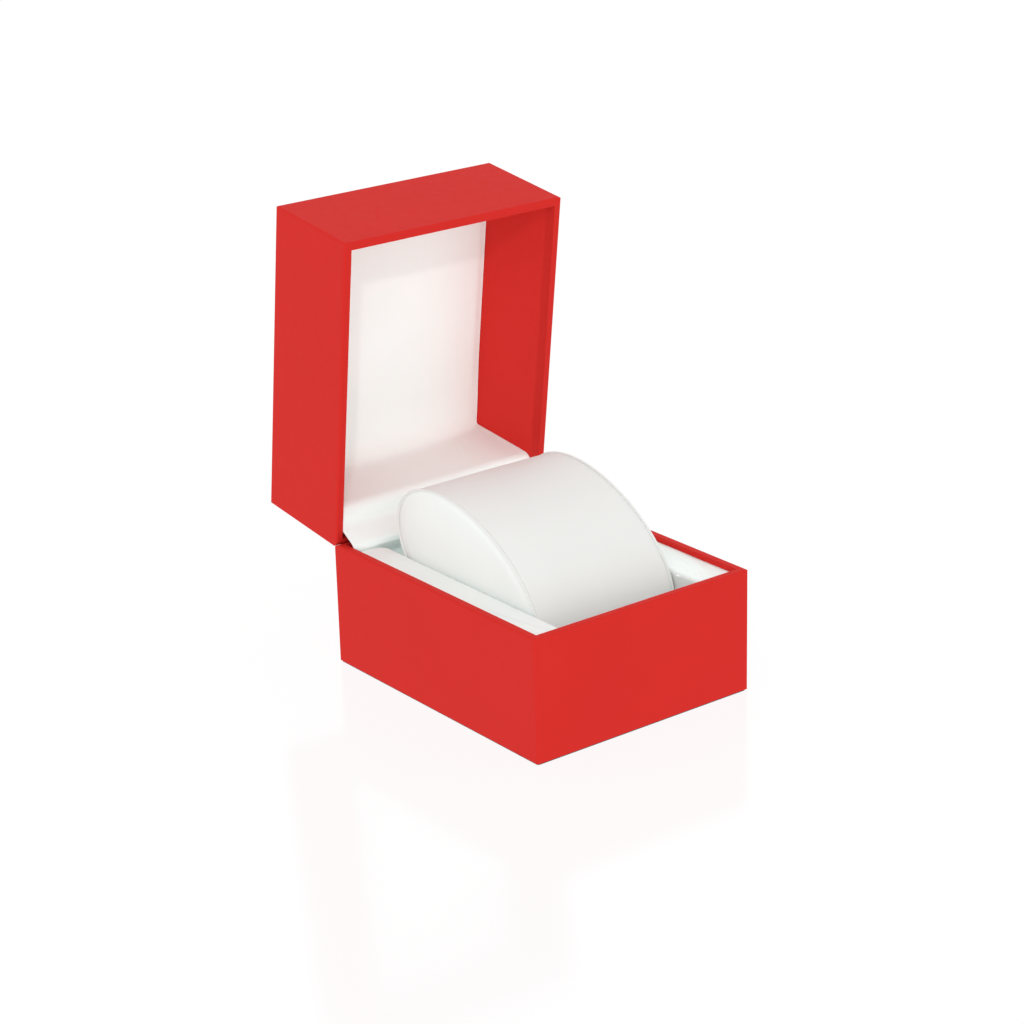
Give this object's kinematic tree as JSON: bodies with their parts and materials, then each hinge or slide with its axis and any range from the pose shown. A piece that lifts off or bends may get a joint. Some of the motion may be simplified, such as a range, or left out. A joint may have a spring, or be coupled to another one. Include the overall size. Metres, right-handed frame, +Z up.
{
  "type": "hinged presentation box with cushion",
  "caption": "Covered rectangular hinged gift box, lid open, lined in white, with a removable oval drum cushion tipped towards the hinge.",
  "frame": {"origin": "centre of the base's underside, on the surface the box stands on", "axes": "+Z up, +Y from the front to the hinge, +X to the right as the open box is faced"},
  "size_m": [0.0826, 0.1377, 0.1444],
  "materials": {
    "red_leatherette": "satin",
    "white_leatherette": "satin",
    "foam": "matte",
    "greyboard": "matte",
    "white_card": "matte",
    "base_paper": "matte",
    "steel": "satin"
  },
  "bodies": {
    "base": {"base_underside_sheet": "base_paper", "base_bottom_board": "greyboard", "base_front_board": "greyboard", "base_back_board": "greyboard", "base_left_board": "greyboard", "base_right_board": "greyboard", "base_cover": "red_leatherette", "left_pad_block": "foam", "right_pad_block": "foam", "left_pad_cover": "white_leatherette", "right_pad_cover": "white_leatherette", "well_floor_lining": "white_leatherette", "well_front_card": "white_card", "well_front_lining": "white_leatherette", "well_rear_card": "white_card", "cushion_cradle": "foam", "hinge_base_leaf": "steel", "base_leaf_rivets": "steel", "hinge_spring_tongue": "steel", "hinge_pin": "steel", "hinge_flap_lining": "white_leatherette", "outer_hinge_cloth": "red_leatherette"},
    "lid": {"lid_top_board": "greyboard", "lid_front_board": "greyboard", "lid_back_board": "greyboard", "lid_left_board": "greyboard", "lid_right_board": "greyboard", "lid_cover": "red_leatherette", "lid_inner_liner": "red_leatherette", "lid_pad_card": "white_card", "lid_pad_foam": "foam", "lid_pad_lining": "white_leatherette", "hinge_cover_board": "white_card", "hinge_lid_leaf": "steel", "lid_leaf_rivets": "steel"},
    "cushion": {"cushion_former": "greyboard", "cushion_padding": "foam", "cushion_wrap": "white_leatherette", "cushion_left_end_card": "white_card", "cushion_right_end_card": "white_card", "cushion_left_end_cover": "white_leatherette", "cushion_right_end_cover": "white_leatherette"}
  },
  "joints": [
    {"name": "lid_hinge", "type": "hinge", "parent": "base", "child": "lid", "pos_m": [0, 0.0496, 0.04], "axis": [1, 0, 0], "range_deg": [0, 82.5], "deforming": ["hinge_flap_lining", "outer_hinge_cloth"]},
    {"name": "cushion_lift", "type": "slide", "parent": "base", "child": "cushion", "axis": [0, 0, 1], "range_m": [0, 0.008]}
  ]
}
